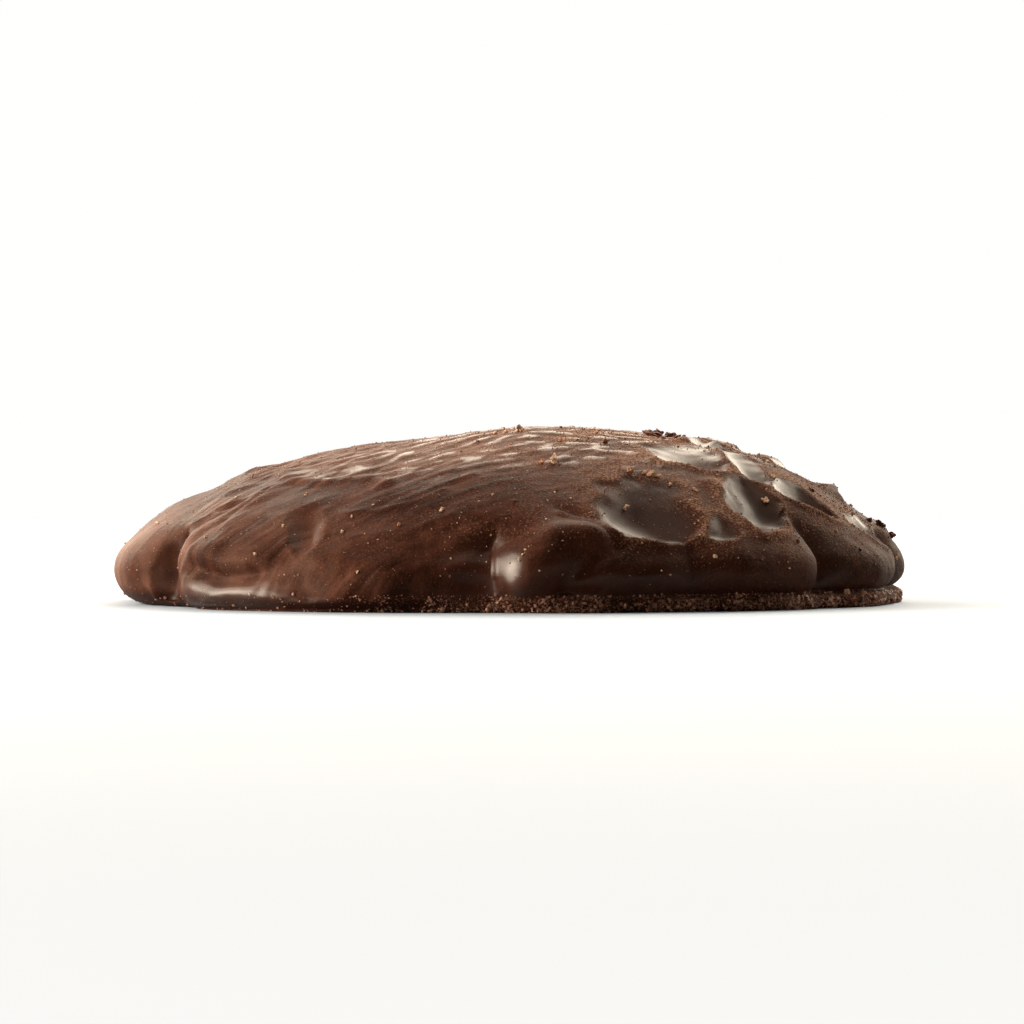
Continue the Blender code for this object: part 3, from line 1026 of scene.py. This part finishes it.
    def seats(self, bearing: np.ndarray, down: np.ndarray) -> tuple[Patch, np.ndarray]:
        """Places on the coat where something small can lie.

        Args:
            bearing: In radians.
            down: As for patch.

        Returns:
            The points there, and the outward directions.
        """
        step = 0.15 * MM
        here = self.patch(bearing, down)
        radius = np.maximum(np.hypot(here.points[:, 0], here.points[:, 1]), 1.0 * MM)
        beside = self.patch(bearing + step / radius, down).points - here.points
        below = self.patch(bearing, down + step / self.dome.full_reach).points - here.points
        normal = np.cross(below, beside)
        normal /= np.maximum(np.linalg.norm(normal, axis=1), LEAST_LENGTH)[:, None]
        return here, normal


# ---------------- crumbs


# How far the corners of a grain move, as a share of its radius
FINE_LUMPS, COARSE_LUMPS = 0.10, 0.25


class CrumbKind(Enum):
    """The kinds of small loose thing on the coat. Each becomes one piece."""

    BISCUIT = "biscuit_crumbs"
    CHOCOLATE = "chocolate_crumbs"
    DUST = "cocoa_dust"
    FOOT = "foot_crumbs"


class Spot(NamedTuple):
    """A crumb at a known place. down is as for a patch, size in millimetres."""

    bearing: float
    down: float
    size: float
    slender: float = 1.0            # less for a flake than for a crumb


@dataclass
class Crumbs:
    """All the crumbs of one kind, strewn over the coat and joined."""

    kind: CrumbKind
    finish: CrumbFinish
    count: int
    sizes: tuple[float, float]
    seed: int
    spots: tuple[Spot, ...] = ()
    detail: int = 1                 # how often the faces of a grain are split
    shapes: int = 8                 # how many grains there are to choose from
    squat: float = 0.75             # height of a crumb, as a share of its width
    spread: float = 0.0             # how readily one falls where there is no dust
    darker: float = 0.8             # over 1, most of them are of the dark colour
    few_large: float = 1.8          # over 1, most of them are small
    tries: int = 8                  # for each crumb
    foot_band: tuple[float, float] = (0.35, 0.97)
    heap_span: float = 0.085        # of the heaps at the foot, as a share of its radius
    finer_left: float = 0.0         # how much smaller they are on the left of the front
    pale_below: float = 0.0         # the size under which all of them are pale

    def build(self, coat: ChocolateCoat) -> bpy.types.Object:
        """Strew the crumbs.

        Args:
            coat: What they lie on.

        Returns:
            The joined crumbs.
        """
        dice = np.random.default_rng(self.seed)
        bearing, down, size, slender = self._choose(coat, dice)
        patch, normal = coat.seats(bearing, down)
        shapes = [self._shape(dice) for _ in range(self.shapes)]
        points, faces, tints, start = [], [], [], 0
        for place, up, width, slim in zip(patch.points, normal, size, slender):
            corners, sides = shapes[dice.integers(self.shapes)]
            turn = self._upright(Vector(up), dice.uniform(0, 2 * math.pi))
            stretch = dice.uniform(0.6, 1.4, 3) * (1.0, slim, slim * self.squat)
            moved = (corners * stretch * width / 2) @ turn.T
            moved += place + up * width * self.squat * 0.25
            moved[:, 2] += max(0.0, -moved[:, 2].min())     # none goes through the floor
            points.append(moved)
            faces.append(sides + start)
            tint = dice.uniform() ** self.darker
            if width < self.pale_below * MM:
                tint = 0.8 + 0.4 * tint
            tints.append(np.full(len(corners), tint))
            start += len(corners)
        mesh = bpy.data.meshes.new(self.kind.value)
        mesh.from_pydata(np.concatenate(points), [], np.concatenate(faces).tolist())
        store(mesh, "tint", np.concatenate(tints))
        crumbs = bpy.data.objects.new(self.kind.value, mesh)
        bpy.context.scene.collection.objects.link(crumbs)
        return crumbs

    def dress(self, crumbs: bpy.types.Object) -> None:
        """Give the crumbs their finish and tie them to the frame."""
        crumbs.data.materials.append(self.finish.material())
        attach(crumbs, BODY)

    def _choose(
        self, coat: ChocolateCoat, dice: np.random.Generator
    ) -> tuple[np.ndarray, ...]:
        """Bearing, down, size and slenderness of each crumb, thickest where it is dusty."""
        tries = self.count * self.tries
        bearing = dice.uniform(-math.pi, math.pi, tries)
        if self.kind is CrumbKind.FOOT:
            down = 1.0 + dice.uniform(*self.foot_band, tries)
            round_edge = np.column_stack((np.sin(bearing), -np.cos(bearing), np.zeros(tries)))
            heaped = smooth_step(uneven(round_edge, self.heap_span, 4.0), -0.25, 0.25)
            wanted = 0.03 + crumbly(bearing) ** 1.5 * (0.25 + 0.9 * heaped)
        else:
            down = np.sqrt(dice.uniform(0.0, 1.0, tries)) * 1.02
            wanted = self.spread + coat.patch(bearing, down).dust
        kept = np.flatnonzero(wanted > dice.uniform(0.0, 1.15, tries))[: self.count]
        low, high = self.sizes
        size = low * (high / low) ** (dice.uniform(0.0, 1.0, len(kept)) ** self.few_large)
        size *= 1.0 - self.finer_left * (0.5 + 0.5 * np.cos(turned(bearing[kept], -75.0))) ** 2
        spots = np.array(self.spots, float).reshape(-1, 4)
        return (
            np.concatenate((np.radians(spots[:, 0]), bearing[kept])),
            np.concatenate((spots[:, 1], down[kept])),
            np.concatenate((spots[:, 2], size)) * MM,
            np.concatenate((spots[:, 3], np.ones(len(kept)))),
        )

    def _shape(self, dice: np.random.Generator) -> tuple[np.ndarray, np.ndarray]:
        """Corners and sides of one crumb, about 2 across: a broken, lumpy grain."""
        start_fresh()
        bpy.ops.mesh.primitive_ico_sphere_add(subdivisions=self.detail, radius=1.0)
        grain = bpy.context.object
        rough = FINE_LUMPS if self.detail > 2 else COARSE_LUMPS
        lumps = dice.uniform(1.0 - rough, 1.0 + rough, len(grain.data.vertices))
        origin = Vector(dice.uniform(3.0, 90.0, 3))
        for vertex, lump in zip(grain.data.vertices, lumps):
            large = noise.noise(vertex.co * 1.1 + origin)
            small = noise.noise(vertex.co * 3.1 + origin)
            vertex.co *= lump * (1.0 + 0.9 * large + 0.5 * small)
        bpy.ops.object.mode_set(mode="EDIT")
        if self.detail > 1:
            bpy.ops.mesh.select_all(action="SELECT")
            way = Vector(dice.normal(size=3)).normalized()
            bpy.ops.mesh.bisect(plane_co=way * 0.7, plane_no=way, use_fill=True, clear_outer=True)
        bpy.ops.mesh.select_all(action="SELECT")
        bpy.ops.mesh.quads_convert_to_tris()
        bpy.ops.object.mode_set(mode="OBJECT")
        corners = np.array([vertex.co[:] for vertex in grain.data.vertices])
        sides = np.array([side.vertices[:] for side in grain.data.polygons])
        bpy.data.objects.remove(grain, do_unlink=True)
        return corners, sides

    @staticmethod
    def _upright(up: Vector, spin: float) -> np.ndarray:
        """A turn that takes +Z to the outward direction."""
        from_z = up.to_track_quat("Z", "Y").to_matrix()
        cos, sin = math.cos(spin), math.sin(spin)
        about_z = np.array(((cos, -sin, 0.0), (sin, cos, 0.0), (0.0, 0.0, 1.0)))
        return np.array(from_z) @ about_z


BISCUIT_SPOTS = tuple(Spot(*row) for row in (
    (4.9, 0.295, 0.75), (-1.0, 0.30, 0.45), (17.5, 0.40, 0.55), (31.2, 0.415, 0.45),
    (10.2, 0.565, 1.3, 0.36), (7.5, 0.575, 0.5), (29.4, 0.648, 0.45), (30.6, 0.655, 0.35),
    (28.2, 0.640, 0.35), (25.7, 0.627, 0.40), (20.5, 0.762, 0.40), (35.3, 0.726, 0.35),
    (50.3, 0.768, 0.44), (63.0, 0.850, 0.28), (2.0, 0.966, 0.17), (2.4, 0.955, 0.15),
    (1.6, 0.974, 0.20), (2.9, 0.948, 0.13), (-25.8, 0.865, 0.24), (-23.3, 0.759, 0.20),
    (-10.6, 0.792, 0.24), (-2.6, 0.741, 0.20), (-16.8, 0.843, 0.32), (-49.7, 0.911, 0.24),
    (-37.6, 0.956, 0.22), (-72.3, 0.866, 0.26), (-36.7, 0.854, 0.30, 0.5), (59.0, 1.42, 0.45),
    (62.5, 1.45, 0.35),
))
CHOCOLATE_SPOTS = tuple(Spot(*row) for row in (
    (78.0, 0.345, 1.0), (72.0, 0.340, 0.8), (81.0, 0.375, 0.7), (86.0, 0.360, 0.5), (75.0, 0.395, 0.45),
    (68.0, 0.310, 0.4), (80.0, 0.648, 0.55), (86.0, 0.895, 0.5), (88.0, 0.925, 0.6), (84.5, 0.870, 0.4),
    (55.0, 1.88, 0.6), (59.5, 1.86, 0.8), (62.0, 1.84, 0.5),
))


def all_crumbs() -> list[Crumbs]:
    """The four kinds of crumb."""
    biscuit = CrumbFinish("biscuit_crumb", (0.46, 0.165, 0.080), (1.0, 0.72, 0.50), 0.8)
    chocolate = CrumbFinish("chocolate_crumb", (0.11, 0.030, 0.014), (0.33, 0.110, 0.056), 0.7)
    dust = CrumbFinish("cocoa_dust", (0.30, 0.145, 0.090), (0.80, 0.54, 0.42), 0.85)
    foot = CrumbFinish("foot_crumb", (0.17, 0.048, 0.030), (0.95, 0.55, 0.41), 0.45)
    return [
        Crumbs(
            CrumbKind.BISCUIT, biscuit, count=120, sizes=(0.12, 0.36), seed=3,
            spots=BISCUIT_SPOTS, detail=3, spread=0.25, finer_left=0.6, pale_below=0.31,
        ),
        Crumbs(
            CrumbKind.CHOCOLATE, chocolate, count=50, sizes=(0.14, 0.42), seed=5,
            spots=CHOCOLATE_SPOTS, detail=3, finer_left=0.8,
        ),
        Crumbs(CrumbKind.DUST, dust, count=4800, sizes=(0.045, 0.14), seed=8),
        Crumbs(CrumbKind.FOOT, foot, count=7500, sizes=(0.05, 0.27), seed=9, squat=0.6),
    ]


# ---------------- the studio


class Softbox(NamedTuple):
    """A square area light that faces the object."""

    name: str
    place: tuple[float, float, float]
    width: float
    power: float


@dataclass
class Studio:
    """A pale floor, soft lights, a white background and the camera."""

    lights: tuple[Softbox, ...] = (
        Softbox("front_above", (0.03, -0.12, 0.55), 0.30, 0.30),
        Softbox("back_above", (0.10, 0.42, 0.42), 0.46, 0.72),
        Softbox("back_middle", (0.10, 0.52, 0.30), 0.40, 2.3),
        Softbox("back_left", (-0.28, 0.55, 0.18), 0.34, 3.2),
        Softbox("back_right", (0.34, 0.50, 0.18), 0.34, 1.1),
        Softbox("right_above", (0.34, 0.32, 0.42), 0.30, 1.2),
        Softbox("left", (-0.60, 0.03, 0.30), 0.46, 3.4),
        Softbox("left_low", (-0.62, -0.15, 0.14), 0.38, 4.6),
    )
    front_glow: float = 0.010
    back_glow: float = 0.30
    side_glow: float = 0.38
    high_share: float = 0.25        # of the glow that stays high above the horizon
    background: Colour = (1.0, 1.0, 0.99)
    light_colour: Colour = (1.0, 0.88, 0.71)
    floor_finish: PaleFloor = field(default_factory=PaleFloor)
    camera_distance: float = 0.46
    camera_elevation: float = math.radians(0.8)
    frame_width: float = 0.0775     # what the picture spans at the aim
    aim: Vector = field(default_factory=lambda: Vector((0.0, 0.0, 0.0068)))

    def build(self) -> None:
        """Set up the whole studio."""
        self._floor()
        for softbox in self.lights:
            self._light(softbox)
        self._world()
        self._camera()
        bpy.context.scene.view_settings.view_transform = "Standard"

    def _floor(self) -> None:
        """Lay the floor."""
        start_fresh()
        bpy.ops.mesh.primitive_circle_add(vertices=128, radius=1.2, fill_type="TRIFAN")
        floor = bpy.context.object
        floor.name = "floor"
        floor.data.materials.append(self.floor_finish.material())

    def _light(self, softbox: Softbox) -> None:
        """Hang one light, turned to the object."""
        lamp = bpy.data.lights.new(softbox.name, "AREA")
        lamp.energy = softbox.power
        lamp.color = self.light_colour
        lamp.size = softbox.width
        light = bpy.data.objects.new(softbox.name, lamp)
        light.location = softbox.place
        light.rotation_euler = (self.aim - light.location).to_track_quat("-Z", "Y").to_euler()
        light.visible_camera = False
        bpy.context.scene.collection.objects.link(light)

    def _world(self) -> None:
        """A white background to look at, which lights the object only weakly."""
        world = bpy.data.worlds.new("studio")
        world.use_nodes = True
        bpy.context.scene.world = world
        graph = Graph(world.node_tree)
        white = (*self.background, 1.0)
        warm = (*self.light_colour, 1.0)
        way = graph.add("TexCoord").outputs["Generated"]
        axes = graph.add("SeparateXYZ", None, {0: way})
        right, back, up = (Signal(graph, output) for output in axes.outputs)
        low = 1.0 - (1.0 - self.high_share) * up.within(0.25, 0.65)
        aside = (right * right).within(0.2, 0.85) * self.side_glow * back.within(-0.5, 0.2)
        glow = self.front_glow + low * (aside + back.within(-0.05, 0.55) * self.back_glow)
        dim = graph.add("Background", None, {"Color": warm, "Strength": glow})
        seen = graph.add("Background", None, {"Color": white, "Strength": 1.0})
        looking = graph.add("LightPath").outputs["Is Camera Ray"]
        mix = graph.add("MixShader", None, {0: looking, 1: dim.outputs[0], 2: seen.outputs[0]})
        graph.feed(world.node_tree.nodes["World Output"], {"Surface": mix.outputs[0]})

    def _camera(self) -> None:
        """Place the camera low in front, about as far away as it was for the photo."""
        lens = bpy.data.cameras.new("camera")
        lens.lens = lens.sensor_width * self.camera_distance / self.frame_width
        lens.clip_start = 0.01
        camera = bpy.data.objects.new("camera", lens)
        cos, sin = math.cos(self.camera_elevation), math.sin(self.camera_elevation)
        camera.location = self.aim + self.camera_distance * Vector((0.0, -cos, sin))
        camera.rotation_euler = (self.aim - camera.location).to_track_quat("-Z", "Y").to_euler()
        bpy.context.scene.collection.objects.link(camera)
        bpy.context.scene.camera = camera


# ---------------- helpers


def start_fresh() -> None:
    """Deselect everything, so that the next operator acts on the new mesh alone."""
    bpy.ops.object.select_all(action="DESELECT")


def store(mesh: bpy.types.Mesh, name: str, values: np.ndarray) -> None:
    """Keep a number or a vector for each point of a mesh, for its material to read."""
    kind, place = ("FLOAT", "value") if values.ndim == 1 else ("FLOAT_VECTOR", "vector")
    attribute = mesh.attributes.new(name, kind, "POINT")
    attribute.data.foreach_set(place, values.astype(np.float32).ravel())


def report(piece: bpy.types.Object) -> None:
    """Say how large a piece is and how many triangles it has."""
    piece.data.calc_loop_triangles()
    size = ", ".join(f"{side / MM:.2f}" for side in piece.dimensions)
    log.info("%s: %s mm, %d triangles", piece.name, size, len(piece.data.loop_triangles))


def main() -> None:
    """Load the frame, build every piece in order, and set up the studio."""
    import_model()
    noise.seed_set(NOISE_SEED)
    coat = ChocolateCoat()
    shell = coat.build()
    coat.dress(shell)
    report(shell)
    for crumbs in all_crumbs():
        piece = crumbs.build(coat)
        crumbs.dress(piece)
        report(piece)
    Studio().build()


if __name__ == "__main__":
    logging.basicConfig(level=logging.INFO, format="%(levelname)s %(message)s")
    main()
